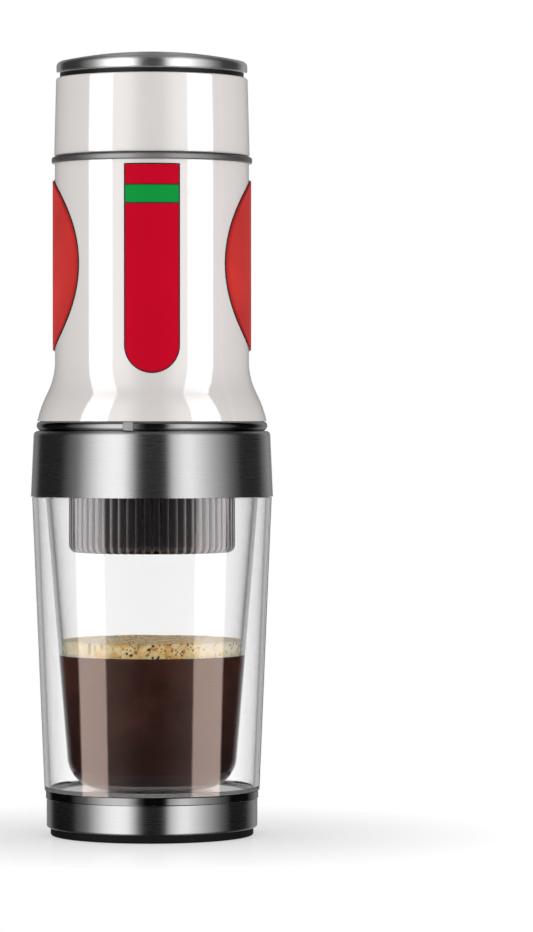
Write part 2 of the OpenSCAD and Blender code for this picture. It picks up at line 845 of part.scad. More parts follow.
module tank_gasket() {
    color("#c9c9c4") ring(tank_r - tank_groove_w + glue_gap, tank_r, z_body - gasket_h, z_body);
}

module pump_base() {
    color("#3a3b3d") difference() {
        union() {
            disc(pump_base_r, z_tank_top, z_pump);
            disc(valve_boss_r, z_valve_foot, z_tank_top + cut);
        }
        disc(valve_chamber_r, z_valve_foot - cut, z_valve_seat);
        disc(valve_port_r, z_valve_seat - cut, z_pump + cut);
        ring(bore_r - glue_gap, cylinder_r + glue_gap, z_cylinder, z_pump + cut);
        ring(base_seal_mid - seal_r - glue_gap, base_seal_mid + seal_r + glue_gap, z_tank_top - cut,
            z_tank_top + base_seal_groove + loose_gap);
    }
}

module pump_base_seal() {
    color("#1b1b1d") o_ring(base_seal_mid, seal_r, z_tank_top + seal_r);
}

module pump_cylinder() {
    color("#c4c7ca") ring(bore_r, cylinder_r, z_cylinder, z_cylinder_cap);
}

module cylinder_cap() {
    color("#3a3b3d") difference() {
        disc(cylinder_cap_r, z_cylinder_cap - cylinder_cap_skirt, z_cap_plate_top);
        disc(cylinder_r + glue_gap, z_cylinder_cap - cylinder_cap_skirt - cut, z_cylinder_cap);
        disc(rod_bush_r + glue_gap / 2, z_cylinder_cap - cut, z_cap_plate_top + cut);
        posts(vent_angles, (rod_bush_r + bore_r) / 2, vent_r, z_cylinder_cap - cut, z_cap_plate_top + cut);
    }
}

module rod_bush() {
    color("#b08a3e") difference() {
        disc(rod_bush_r, z_cylinder_cap, z_cap_plate_top);
        disc(rod_r + slide_gap, z_cylinder_cap - cut, z_cap_plate_top + cut);
    }
}

module guide_bush() {
    half = lug_angle / 2 + channel_gap_angle;
    pocket_r = lug_r + pocket_gap;
    color("#4a4b4e") difference() {
        ring(bush_in, bush_r, z_bush, z_neck);
        for (a = lug_angles) {
            ring_sector(bush_in - cut, channel_r, z_lug - loose_gap, z_neck + cut, a - half, a + half);
            ring_sector(bush_in - cut, pocket_r, z_lug - pocket_gap, z_lug + lug_h + pocket_gap,
                a - half - lock_twist, a);
        }
    }
}

module valve_retainer() {
    color("#b08a3e") difference() {
        disc(valve_chamber_r - slide_gap, z_valve_foot, z_valve_foot + retainer_h);
        disc(retainer_hole_r, z_valve_foot - cut, z_valve_foot + retainer_h + cut);
    }
}

module valve_spring() {
    z_touch = z_valve_ball - sqrt(valve_ball_r * valve_ball_r - valve_spring_r * valve_spring_r);
    color("#9a9da1") coil_spring("Valve spring", valve_spring_r, valve_wire_r, valve_turns,
        z_valve_foot + retainer_h, z_touch - valve_wire_r);
}

module valve_ball() {
    color("#9a9da1") translate([0, 0, z_valve_ball]) sphere(valve_ball_r);
}

module return_spring() {
    color("#9a9da1") coil_spring("Return spring", spring_r, spring_wire_r, spring_turns, z_pump,
        z_plunger_plate - spring_seat_h);
}

// Piston and rod

module piston_rod() {
    color("#c4c7ca") difference() {
        union() {
            disc(stud_r, z_piston + nut_h - stud_end, z_piston_top + cut);
            disc(rod_r, z_piston_top, z_rod_top);
            disc(rod_collar_r, z_rod_collar, z_rod_collar + rod_collar_h);
        }
        disc(rod_screw_r + slide_gap, z_rod_top - rod_screw_len, z_rod_top + cut);
    }
}

module piston() {
    color("#3a3b3d") difference() {
        disc(piston_r, z_piston, z_piston_top);
        disc(stud_r + slide_gap, z_piston - cut, z_piston_top + cut);
        disc(nut_r + loose_gap, z_piston - cut, z_piston + nut_h);
        ring(piston_r - piston_groove_d, piston_r + cut, z_piston_groove, z_piston_groove + piston_groove_h);
    }
}

module piston_seal() {
    inner = piston_r - piston_groove_d + slide_gap;
    outer = bore_r - slide_gap;
    foot = z_piston_groove + slide_gap;
    head = z_piston_groove + piston_groove_h - slide_gap;
    color("#1b1b1d") rotate_extrude() polygon([
        [inner, foot], [inner + seal_root_w, foot], [inner + seal_root_w + seal_lip_lean, foot + seal_cup_h],
        [outer - seal_lip_w, foot], [outer, foot], [outer - seal_lip_lean, head], [inner, head]]);
}

module piston_nut() {
    color("#9a9da1") difference() {
        translate([0, 0, z_piston + nut_sink]) cylinder(r = nut_r, h = nut_h - nut_sink, $fn = 6);
        disc(stud_r + slide_gap, z_piston - cut, z_piston + nut_h + cut);
    }
}

module rod_washer() {
    color("#9a9da1") ring(rod_screw_r + slide_gap, washer_r, z_rod_top, z_rod_top + washer_h);
}

module rod_screw() {
    z_head_foot = z_rod_top + washer_h;
    color("#9a9da1") difference() {
        union() {
            disc(rod_r, z_head_foot, z_head_foot + rod_screw_head_h);
            disc(rod_screw_r, z_rod_top - rod_screw_len + rod_screw_end, z_head_foot + screw_overlap);
        }
        translate([0, 0, z_head_foot + socket_floor])
            cylinder(r = rod_socket_r, h = rod_screw_head_h, $fn = 6);
    }
}

// Pump head

module pump_handle() {
    groove_in = carrier_key_r - carrier_key_w - glue_gap;
    groove_out = carrier_key_r + glue_gap;
    skin = handle_wall;
    color("#f1f0ee") difference() {
        union() {
            rotate_extrude() polygon(concat(
                [[handle_r - skin, z_handle]],
                arc([handle_r - handle_round, z_handle + handle_round], handle_round, -90, 0, 6),
                arc([handle_r_top - handle_round, z_handle_top - handle_round], handle_round, 0, 90, 6),
                [[0, z_handle_top], [0, z_plate], [handle_r_top - skin, z_plate]]));
            disc(rod_boss_r, z_rod_boss, z_plate + cut);
        }
        disc(rod_r + slide_gap, z_rod_boss - cut, z_handle_top + cut);
        disc(rod_recess_r, z_handle_top - rod_recess, z_handle_top + cut);
        ring(groove_in, groove_out, z_handle_top - carrier_key_h - carrier_key_sink, z_handle_top + cut);
        posts(handle_screw_angles, handle_screw_circle, handle_screw_r + glue_gap, z_plate - cut,
            z_handle_top + cut);
        posts(handle_screw_angles, handle_screw_circle, handle_screw_head_r + loose_gap,
            z_handle_top - handle_screw_sink, z_handle_top + cut);
    }
}

module plunger_tube() {
    color("#c9cbce") difference() {
        union() {
            ring(plunger_in, plunger_r, z_plunger, z_plate);
            ring(rod_boss_r + glue_gap, plunger_in + cut, z_plunger_plate, z_plate);
            posts(handle_screw_angles, handle_screw_circle, plunger_boss_r, z_plunger_plate - plunger_boss_h,
                z_plunger_plate + cut);
            for (a = lug_angles)
                ring_sector(plunger_r - cut, lug_r, z_lug, z_lug + lug_h, a - lug_angle / 2,
                    a + lug_angle / 2);
        }
        posts(handle_screw_angles, handle_screw_circle, handle_screw_r + slide_gap,
            z_plunger_plate - plunger_boss_h + cut, z_plate + cut);
    }
}

module spring_seat() {
    color("#9a9da1") ring(spring_r - spring_seat_half, spring_r + spring_seat_half,
        z_plunger_plate - spring_seat_h, z_plunger_plate);
}

module handle_screws() {
    z_seat = z_handle_top - handle_screw_sink;
    z_tip = z_plunger_plate - plunger_boss_h + plunger_screw_end;
    color("#9a9da1") for (a = handle_screw_angles) rotate([0, 0, a]) translate([handle_screw_circle, 0, 0])
        difference() {
            union() {
                disc(handle_screw_head_r, z_seat, z_seat + handle_screw_head_h);
                disc(handle_screw_r, z_tip, z_seat + screw_overlap);
            }
            translate([0, 0, z_seat + socket_floor])
                cylinder(r = handle_socket_r, h = handle_screw_head_h, $fn = 6);
        }
}

// Points of the cap's crown, set in from its outside, from a radius to the axis
function crown(inset, r) = arc(crown_mid, crown_r - inset, acos(r / (crown_r - inset)), 90, crown_steps);

module cap_carrier() {
    color("#1f1f21") {
        rotate_extrude() polygon(concat(
            [[0, z_handle_top], [carrier_r, z_handle_top]],
            crown(cap_sheet + glue_gap, carrier_r)));
        ring(carrier_key_r - carrier_key_w, carrier_key_r, z_handle_top - carrier_key_h, z_handle_top + cut);
    }
}

module top_cap() {
    edge_mid = crown_mid + (crown_r - cap_round_top) * [cos(crown_angle), sin(crown_angle)];
    outside = crown(0, crown_r * cos(crown_angle));
    inside = crown(cap_sheet, cap_in);
    color("#b9bcc0") rotate_extrude() polygon(concat(
        [[cap_in, z_cap]],
        arc([cap_r - cap_round_foot, z_cap + cap_round_foot], cap_round_foot, -90, 0, 6),
        arc(edge_mid, cap_round_top, 0, crown_angle, 8),
        [for (i = [1 : crown_steps]) outside[i]],
        [for (i = [crown_steps : -1 : 0]) inside[i]]));
}

// Filter

module filter_basket() {
    color("#c4c7ca") rotate_extrude() {
        band(basket_in, basket_rim_r, z_ledge, z_basket_top);
        band(basket_in, basket_r, z_basket, z_ledge + basket_overlap);
        band(basket_in - basket_ledge_w, basket_in + basket_overlap, z_basket, z_basket + basket_wall);
    }
}

module filter_plate() {
    z = z_basket + basket_wall;
    rings = floor((screen_r - plate_rim) / plate_pitch);
    color("#9a9da1") difference() {
        disc(screen_r, z, z + filter_plate_h);
        hole_rings(rings, plate_pitch, plate_hole_r, z - cut, z + filter_plate_h + cut);
    }
}

module shower_screen() {
    z_plate_top = z_basket_top + screen_h;
    rings = floor((screen_r - screen_hole_r - screen_rim) / screen_pitch);
    color("#c4c7ca") difference() {
        union() {
            disc(screen_flange_r, z_basket_top, z_plate_top);
            ring(screen_r - screen_h, screen_r, z_basket_top - screen_lip_h, z_plate_top);
        }
        hole_rings(rings, screen_pitch, screen_hole_r, z_basket_top - cut, z_plate_top + cut);
    }
}

module filter_holder() {
    z_foot = z_grip + grip_lip;
    z_floor = z_grip + holder_floor;
    color("#2f3034") rotate_extrude() polygon([
        [nozzle_r + glue_gap, z_foot], [holder_r - grip_round, z_foot],
        [holder_r, z_foot + grip_round], [holder_r, z_holder_top], [holder_bore, z_holder_top],
        [holder_bore, z_ledge], [holder_ledge_r, z_ledge], [holder_ledge_r, z_floor + holder_funnel_h],
        [nozzle_r + glue_gap, z_floor]]);
}

module grip_ring() {
    rib_turn = 360 / rib_count;
    cutter_mid = grip_r + rib_cutter_r - rib_depth;
    z_foot = z_grip + grip_lip;
    foot_r = holder_r - grip_round;
    sleeve_r = holder_r + glue_gap;
    color("#6d6f74") difference() {
        rotate_extrude() difference() {
            round_band(foot_r, grip_r, z_grip, z_holder_top, grip_top_round, grip_round);
            polygon([[foot_r - cut, z_foot], [foot_r, z_foot], [sleeve_r, z_foot + grip_round + glue_gap],
                [sleeve_r, z_holder_top + cut], [foot_r - cut, z_holder_top + cut]]);
        }
        posts([for (i = [0 : rib_count - 1]) i * rib_turn], cutter_mid, rib_cutter_r, z_grip - cut,
            z_holder_top + cut, $fn = 24);
    }
}

module outlet_nozzle() {
    z_floor = z_grip + holder_floor;
    color("#9a9da1") difference() {
        union() {
            disc(nozzle_r, z_grip + grip_lip, z_floor);
            disc(nozzle_r + nozzle_rim, z_grip - nozzle_drop, z_grip + grip_lip);
        }
        disc(nozzle_bore_r, z_grip - cut, z_floor + cut);
    }
}

rubber_foot();
base_cover();
base_insert();
base_trim_ring();
outer_cup();
inner_cup();
rim_seal();
body_shell();
steel_collar();
collar_trim_ring();
index_tab();
neck_ring();
stripe_inlay();
stripe_band();
side_pad_left();
side_pad_right();
brew_head();
cup_gasket();
brew_gasket();
body_screws();
water_tank();
tank_gasket();
pump_base();
pump_base_seal();
pump_cylinder();
cylinder_cap();
rod_bush();
guide_bush();
valve_retainer();
valve_spring();
valve_ball();
return_spring();
piston_rod();
piston();
piston_seal();
piston_nut();
rod_washer();
rod_screw();
pump_handle();
plunger_tube();
spring_seat();
handle_screws();
cap_carrier();
top_cap();
filter_basket();
filter_plate();
shower_screen();
filter_holder();
grip_ring();
outlet_nozzle();
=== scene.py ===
# Looks, filling and studio of a portable espresso machine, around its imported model.
import json
import math

import bpy
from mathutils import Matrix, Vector, noise
from mathutils.bvhtree import BVHTree


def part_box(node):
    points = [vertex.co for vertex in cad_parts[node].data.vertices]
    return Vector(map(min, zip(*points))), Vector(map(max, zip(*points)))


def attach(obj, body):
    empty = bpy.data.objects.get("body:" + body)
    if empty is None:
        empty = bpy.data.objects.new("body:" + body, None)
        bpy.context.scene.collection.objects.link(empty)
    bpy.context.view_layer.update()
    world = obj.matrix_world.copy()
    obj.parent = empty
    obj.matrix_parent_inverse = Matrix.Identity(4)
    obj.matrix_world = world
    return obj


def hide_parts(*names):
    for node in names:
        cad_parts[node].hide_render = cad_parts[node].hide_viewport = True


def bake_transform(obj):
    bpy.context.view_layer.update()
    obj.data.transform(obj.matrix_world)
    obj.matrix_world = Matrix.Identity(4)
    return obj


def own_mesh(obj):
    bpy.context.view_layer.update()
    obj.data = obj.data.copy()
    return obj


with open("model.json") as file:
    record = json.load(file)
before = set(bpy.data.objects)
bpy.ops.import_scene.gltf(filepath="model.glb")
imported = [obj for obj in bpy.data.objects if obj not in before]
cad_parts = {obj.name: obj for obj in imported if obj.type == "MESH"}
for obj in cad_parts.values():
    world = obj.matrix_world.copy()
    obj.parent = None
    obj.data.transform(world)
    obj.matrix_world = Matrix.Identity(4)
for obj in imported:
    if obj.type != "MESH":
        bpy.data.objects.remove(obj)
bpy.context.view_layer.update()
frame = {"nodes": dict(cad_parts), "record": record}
MM = 0.001

# Camera, as the photograph was taken
CAMERA_PLACE = (0.0, -1.38, 0.1303)
CAMERA_YAW = math.radians(1.476)
CAMERA_PITCH = math.radians(0.6576)
CAMERA_LENS = 171.6
CAMERA_SENSOR = 36.0

# Inside of the inner cup, which the filling follows
CUP_WALL = 1.5 * MM
CUP_CORNER = 10 * MM
CUP_FOOT_R = 25.5 * MM
CUP_TOP_R = 33.0 * MM
CUP_FOOT_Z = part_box("inner_cup")[0].z
CUP_TOP_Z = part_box("steel_collar")[0].z
CUP_LEAN = math.atan((CUP_TOP_R - CUP_FOOT_R) / (CUP_TOP_Z - CUP_FOOT_Z))
FILL_OVERLAP = 0.06 * MM
FOAM_OVERLAP = 0.03 * MM

# Coffee, with the gap of air under it and the share of the round corner over which that closes
COFFEE_Z = 56.0 * MM
COFFEE_SWIRLS = 55.0
COFFEE_GLOW = 30 * MM
GLOW_SHARE = 0.5
# Painted light: height above the cup's floor over which the coffee is painted paler, as if its underside
# caught light
UNDERSIDE_LIGHT_SPAN = 0.8 * MM
FLOOR_GAP = 0.2 * MM
FLOOR_GAP_SHARE = 0.5
CORNER_STEPS = 14

# Foam: its heights and the rings of its top, and how it swells, and climbs at the wall
CREMA_Z = 60.0 * MM
FOAM_FOOT_Z = COFFEE_Z - 0.3 * MM
FOAM_SIDE_Z = (COFFEE_Z + 1.2 * MM, COFFEE_Z + 2.4 * MM, CREMA_Z)
FOAM_FOOT_GAP = 0.06 * MM
FOAM_SHARES = (0.985, 0.96, 0.93, 0.89, 0.84, 0.78, 0.7, 0.6, 0.5, 0.4, 0.3, 0.2, 0.1)
FOAM_TURN_STEPS = 240
FOAM_WAVES = ((180.0, 0.5), (520.0, 0.25))
FOAM_SWELL = 0.6 * MM
FOAM_CLIMB = 0.7 * MM
CLIMB_FROM_Z = COFFEE_Z + 1 * MM
CLIMB_FROM_SHARE = 0.9

# Look of the foam: waves to the metre of froth and patches, and of bubbles, with their size.
# Patches close the bubbles, and painted light at the sides closes them too and makes the foam paler there.
FROTH_WAVES = 420.0
FROTH_SHARE = 0.6
PATCH_WAVES = 75.0
PATCH_SPAN = (0.4, 0.6)
PATCH_CLOSING = (0.16, -0.06)
LARGE_BUBBLES = (620.0, 0.22)
SMALL_BUBBLES = (950.0, 0.3)
SMALL_BUBBLE_SHARE = 0.7
BUBBLE_EDGE = 0.1
BUBBLE_DEPTH = 0.2 * MM
BUBBLE_RELIEF = 0.5
# Painted light at the foam's sides: the span over which it grows, how far it closes the bubbles, and how
# much paler it makes the foam
PAINTED_LIGHT_SIDES = (9 * MM, 17 * MM)
PAINTED_LIGHT_CLOSING = 0.1
PAINTED_LIGHT_PALENESS = 0.17

# Pale matt face under the cup's floor, a lighter copy of the plating that paints light there
FACE_MARGIN = 0.05 * MM
FACE_SINK = 0.2 * MM

# Springs, with the gap at their closed ends, and the screw thread
RETURN_WIRE_R = 1.0 * MM
RETURN_TURNS = 10
VALVE_WIRE_R = 0.2 * MM
VALVE_TURNS = 4
SPRING_CLOSE = 0.6 * MM
SPRING_STEPS = 48
FINE_SIDES = 10
SPIGOT_R = 22.8 * MM
HOLDER_BORE_R = 23.0 * MM
THREAD_PITCH = 3.0 * MM
THREAD_TURNS = 1.8
THREAD_STEPS = 72
THREAD_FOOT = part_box("brew_head")[0].z + 1.2 * MM
THREAD_TOOTH_R = 0.35 * MM
SPIGOT_TOOTH = 0.14 * MM
HOLDER_TOOTH = 0.1 * MM

# Ribs of the grip: the share of a rib that its groove takes to either side, its soft edge, and the crown
RIB_COUNT = 60
GROOVE_SHARE = 0.15
GROOVE_EDGE = 0.2
RIB_CROWN = 0.4 * MM

# Painted shadow lines in the seams round the stripe and the pads
PAD_TURN = math.radians(99)
BODY_R = 30.1 * MM
SEAM_OUT = 0.2 * MM
STRIPE_SHADOW_R = 0.17 * MM
BAND_SHADOW_R = 0.12 * MM
PAD_SHADOW_R = 0.25 * MM
SEAM_SHADOW_SIDES = 8
ROUND_STEPS = 40
SIDE_STEPS = 24
HEAD_STEPS = 16
BAND_STEPS = 24
PAD_STEPS = 120
SKIN_REACH = 0.1

# Grain of the materials: waves to the metre, how far they change the gloss, and the spans of noise in use
STEEL_CLOUDS = 60.0
PLATED_CLOUDS = 90.0
PLASTIC_CLOUDS = 45.0
GLASS_WAVES = 60.0
HAZE_WAVES = 1800.0
TURNED_LINES = 5200.0
LINE_BREAKS = 1.6
LINE_SHARE = 0.75
LINE_GLOSS = 0.05
LINE_RELIEF = 0.5
GRAIN_GLOSS = 0.15
GRAIN_RELIEF = 0.6
CLOUD_SPAN = (0.3, 0.7)
FINE_SPAN = (0.25, 0.75)
LINE_SPAN = (0.2, 0.8)

# Light round the part: pairs of the angle from the camera's side, to the right, and the share of full light
OPEN_LIGHTS = [
    (-180, 0.12), (-167, 0.12), (-150, 0.14), (-138, 0), (-98, 0), (-76, 0.16), (-52, 0.85), (-40, 1),
    (-28, 0.95), (-14, 0.08), (-8, 0), (11, 0), (14, 0.03), (20, 0.5), (31, 0.85), (38, 0.9), (60, 0.43),
    (80, 0.13), (95, 0), (125, 0), (150, 0.2), (167, 0.12), (180, 0.12)]
BACK_LIGHTS = [(-180, 0.8), (-174, 0.7), (-167, 0), (167, 0), (174, 0.7), (180, 0.8)]
CUP_LIGHTS = [
    (-180, 0.06), (-165, 0.03), (-150, 0), (-81, 0), (-79, 1), (-49, 1), (-47, 0.09), (-26, 0.04), (-12, 0),
    (12, 0), (26, 0.04), (42, 0.09), (44, 1), (76, 1), (78, 0), (150, 0), (165, 0.03), (180, 0.06)]
WALL_LIGHTS = [(-180, 0.13), (-159, 0.13), (-136, 0), (136, 0), (159, 0.13), (180, 0.13)]
INSIDE_LIGHTS = [
    (-180, 0.1), (-150, 0.1), (-80, 0.1), (-66, 0.03), (-40, 0.004), (40, 0.004), (66, 0.03), (80, 0.1),
    (150, 0.1), (180, 0.1)]
BACKDROP = [(-180, 1), (-138, 1), (-130, 0), (130, 0), (138, 1), (180, 1)]

# Levels of light: the boxes in rough and in sharp gloss, round and over them, on matt faces, through glass
OPEN_LEVEL = 1.75
CUP_LEVEL = 5.6
SURROUND_LEVEL = 0.005
TOP_LEVEL = 0.2
SOFT_FRONT = 0.66
SOFT_BACK = 0.62
SOFT_SIDE = 0.62
THROUGH_SIDE = 0.8
THROUGH_BACK = 1.2

# Surfaces that a ray has passed through once it is inside the inner cup
INSIDE_CROSSINGS = 6.5

# Heights at which the lights begin and end, as sines of the angle from the level
OPEN_HEIGHT = (0.6, 0.85)
BACK_HEIGHT = (0.0, 0.06)
CUP_HEIGHT = (0.6, 0.9)
TOP_HEIGHT = (0.8, 0.95)

# The front boxes turn warmer and brighter near their feet
WARM = (1.36, 1.05, 0.92, 1.0)
WARM_FOOT = (-0.2, -0.17)
WARM_HEAD = (-0.128, -0.1)

# Floor, just under the part's foot, which fades to plain white away from it
FLOOR_HALF = 3.0
FLOOR_DROP = 0.05 * MM
FLOOR_MATT = 0.85
FLOOR_GLOSS = 0.9
FLOOR_ROUGHNESS = 0.12
FLOOR_SHEEN = 0.25
FLOOR_NEAR = 0.45
FLOOR_FADE = (0.034, 0.11)

# Bounces that light needs to pass the cup's two walls, in and out again
CLEAR_BOUNCES = 24
SOFT_BOUNCES = 16


# Shader helpers

def srgb(red, green, blue):
    """Linear colour of an sRGB colour in steps of 255."""
    linear = []
    for step in (red, green, blue):
        share = step / 255
        linear.append(share / 12.92 if share <= 0.04045 else ((share + 0.055) / 1.055) ** 2.4)
    return (*linear, 1.0)


def grey(level):
    """Neutral linear colour."""
    return (level, level, level, 1.0)


def shade(colour, factor):
    """The colour made darker or lighter by a factor."""
    return (*(channel * factor for channel in colour[:3]), 1.0)


def add(tree, kind, inputs=None, **settings):
    """New shader node with its settings; each input is a value or another node's socket."""
    made = tree.nodes.new("ShaderNode" + kind)
    for key, value in settings.items():
        setattr(made, key, value)
    for key, value in (inputs or {}).items():
        if isinstance(value, bpy.types.NodeSocket):
            tree.links.new(value, made.inputs[key])
        else:
            made.inputs[key].default_value = value
    return made


def calc(tree, operation, *values):
    """Result of one sum on values or sockets."""
    return add(tree, "Math", dict(enumerate(values)), operation=operation).outputs[0]


def spread(tree, factor, low, high, from_low=0.0, from_high=1.0):
    """Factor carried from one range to another."""
    inputs = {"Value": factor, "From Min": from_low, "From Max": from_high, "To Min": low, "To Max": high}
    return add(tree, "MapRange", inputs).outputs["Result"]


def weigh(tree, share, first, second):
    """Sum of a share of one value and the rest of another."""
    return calc(tree, "ADD", calc(tree, "MULTIPLY", first, share), calc(tree, "MULTIPLY", second, 1 - share))


def choose(tree, factor, low, high):
    """Value that goes from low to high with the factor."""
    return add(tree, "Mix", {0: factor, 2: low, 3: high}, data_type="FLOAT").outputs[0]


def tint(tree, factor, low, high):
    """Colour that goes from low to high with the factor."""
    return add(tree, "Mix", {0: factor, 6: low, 7: high}, data_type="RGBA").outputs[2]


def ramp(tree, factor, stops):
    """Colour picked along stops of (position, colour)."""
    made = add(tree, "ValToRGB", {"Fac": factor})
    elements = made.color_ramp.elements
    for element, (position, colour) in zip((elements[0], elements[1]), (stops[0], stops[-1])):
        element.position = position
        element.color = colour
    for position, colour in stops[1:-1]:
        elements.new(position).color = colour
    return made.outputs["Color"]


def fog(tree, vector, scale, detail=2.0, roughness=0.5):
    """Soft noise between 0 and 1."""
    inputs = {"Vector": vector, "Scale": scale, "Detail": detail, "Roughness": roughness}
    return add(tree, "TexNoise", inputs).outputs["Fac"]


def material(name, values):
    """New material, its tree and its Principled shader with constant values set."""
    made = bpy.data.materials.new(name)
    made.use_nodes = True
    shader = made.node_tree.nodes["Principled BSDF"]
    for key, value in values.items():
        shader.inputs[key].default_value = value
    return made, made.node_tree, shader


def bump(tree, shader, height, depth, strength=1.0):
    """Raise the surface by a height field of the given depth."""
    inputs = {"Height": height, "Distance": depth, "Strength": strength}
    tree.links.new(add(tree, "Bump", inputs).outputs["Normal"], shader.inputs["Normal"])


# Materials, one for each slot of the record, for some nodes and for the filling

def set_clouds(tree, shader, cloud, dark, light):
    """Colour that drifts between a dark and a light tone."""
    stops = list(zip(CLOUD_SPAN, (dark, light)))
    tree.links.new(ramp(tree, cloud, stops), shader.inputs["Base Color"])


def turned_metal(name, dark, light, roughness, streak_depth, anisotropy):
    """Steel turned or brushed round the part's axis, with fine lines that run round it."""
    made, tree, shader = material(name, {
        "Metallic": 1.0, "Anisotropic": anisotropy, "Anisotropic Rotation": 0.25})
    place = add(tree, "TexCoord").outputs["Object"]
    parts = add(tree, "SeparateXYZ", {"Vector": place}).outputs
    flat = add(tree, "CombineXYZ", {"X": parts["X"], "Y": parts["Y"]}).outputs["Vector"]
    radius = add(tree, "VectorMath", {0: flat}, operation="LENGTH").outputs["Value"]
    turn = add(tree, "VectorMath", {0: flat}, operation="NORMALIZE").outputs["Vector"]
    turn_parts = add(tree, "SeparateXYZ", {"Vector": turn}).outputs
    along = calc(tree, "MULTIPLY", calc(tree, "ADD", parts["Z"], radius), TURNED_LINES)
    lines_at = add(tree, "CombineXYZ", {
        "X": calc(tree, "MULTIPLY", turn_parts["X"], LINE_BREAKS),
        "Y": calc(tree, "MULTIPLY", turn_parts["Y"], LINE_BREAKS), "Z": along}).outputs["Vector"]
    lines = fog(tree, lines_at, 1.0, 3.0, 0.6)
    tone = weigh(tree, LINE_SHARE, lines, fog(tree, place, STEEL_CLOUDS))
    stops = list(zip(FINE_SPAN, (dark, light)))
    tree.links.new(ramp(tree, tone, stops), shader.inputs["Base Color"])
    tree.links.new(spread(tree, lines, roughness - LINE_GLOSS, roughness + LINE_GLOSS, *LINE_SPAN),
                   shader.inputs["Roughness"])
    tree.links.new(add(tree, "Tangent", direction_type="RADIAL", axis="Z").outputs["Tangent"],
                   shader.inputs["Tangent"])
    bump(tree, shader, lines, streak_depth, LINE_RELIEF)
    return made


def polished_metal(name, dark, light, roughness, haze, metallic=1.0):
    """Polished metal with faint clouds in its colour; haze spreads its roughness."""
    made, tree, shader = material(name, {"Metallic": metallic})
    place = add(tree, "TexCoord").outputs["Object"]
    set_clouds(tree, shader, fog(tree, place, PLATED_CLOUDS, 3.0), dark, light)
    fine = fog(tree, place, HAZE_WAVES)
    tree.links.new(spread(tree, fine, roughness - haze, roughness + haze, *FINE_SPAN),
                   shader.inputs["Roughness"])
    return made


def ribbed_metal(name, dark, light, roughness, groove_roughness):
    """Plated metal, polished on its rounded ribs and matt in the grooves between them."""
    made, tree, shader = material(name, {"Metallic": 1.0})
    place = add(tree, "TexCoord").outputs["Object"]
    set_clouds(tree, shader, fog(tree, place, PLATED_CLOUDS, 3.0), dark, light)
    parts = add(tree, "SeparateXYZ", {"Vector": place}).outputs
    turn = calc(tree, "ARCTAN2", parts["Y"], parts["X"])
    rib = calc(tree, "MULTIPLY", turn, RIB_COUNT / (2 * math.pi))
    away = calc(tree, "PINGPONG", rib, 0.5)
    edge = (GROOVE_SHARE * (1 - GROOVE_EDGE), GROOVE_SHARE * (1 + GROOVE_EDGE))
    tree.links.new(spread(tree, away, groove_roughness, roughness, *edge), shader.inputs["Roughness"])
    slope = calc(tree, "SUBTRACT", 1.0, calc(tree, "MULTIPLY", away, 2.0))
    bump(tree, shader, calc(tree, "SUBTRACT", 1.0, calc(tree, "MULTIPLY", slope, slope)), RIB_CROWN)
    return made


def moulded(name, colour, roughness, grain, grain_depth, contrast, extra=None):
    """Moulded plastic or rubber: faint clouds in its colour, and a fine grain in its gloss and surface."""
    made, tree, shader = material(name, extra or {})
    place = add(tree, "TexCoord").outputs["Object"]
    cloud = fog(tree, place, PLASTIC_CLOUDS)
    fine = fog(tree, place, 1 / grain, 3.0, 0.6)
    set_clouds(tree, shader, cloud, shade(colour, 1 - contrast), shade(colour, 1 + contrast / 3))
    gloss = (roughness * (1 - GRAIN_GLOSS), roughness * (1 + GRAIN_GLOSS))
    tree.links.new(spread(tree, fine, *gloss, *FINE_SPAN), shader.inputs["Roughness"])
    bump(tree, shader, fine, grain_depth, GRAIN_RELIEF)
    return made


def clear(name, colour, index, waviness):
    """Clear plastic or glass, with the faint waviness of a moulded wall."""
    made, tree, shader = material(name, {
        "Base Color": colour, "Transmission Weight": 1.0, "IOR": index, "Roughness": 0.0})
    place = add(tree, "TexCoord").outputs["Object"]
    bump(tree, shader, fog(tree, place, GLASS_WAVES, 1.0), waviness)
    return made


def coffee_material():
    """Dark brewed coffee, redder in its swirls, with a painted glow that lightens it towards its foam, and
    painted light that lightens it just above the cup's floor.
    """
    made, tree, shader = material("coffee", {"Roughness": 0.3, "Specular IOR Level": 0.05})
    place = add(tree, "TexCoord").outputs["Object"]
    swirl = fog(tree, place, COFFEE_SWIRLS, 4.0, 0.6)
    rise = add(tree, "SeparateXYZ", {"Vector": place}).outputs["Z"]
    # Painted glow: the coffee turns lighter towards its top
    lit = spread(tree, rise, 0.0, GLOW_SHARE, COFFEE_Z - COFFEE_GLOW, COFFEE_Z)
    stops = [(0.3, srgb(62, 40, 36)), (0.7, srgb(84, 54, 48)), (1.0, srgb(112, 72, 64))]
    drink = ramp(tree, calc(tree, "ADD", swirl, lit), stops)
    cup_floor = CUP_FOOT_Z + CUP_WALL
    # Painted light: pale coffee just above the cup's floor
    painted_underside_light = spread(tree, rise, 1.0, 0.0, cup_floor, cup_floor + UNDERSIDE_LIGHT_SPAN)
    tree.links.new(tint(tree, painted_underside_light, drink, srgb(196, 170, 160)), shader.inputs["Base Color"])
    return made


def bubbles(tree, vector, scale, edge, closing):
    """Round bubbles of mixed sizes, 1 inside and 0 outside, and the distance from their middles."""
    cells = add(tree, "TexVoronoi", {"Vector": vector, "Scale": scale}).outputs["Distance"]
    return spread(tree, calc(tree, "ADD", cells, closing), 1.0, 0.0, edge, edge + BUBBLE_EDGE), cells


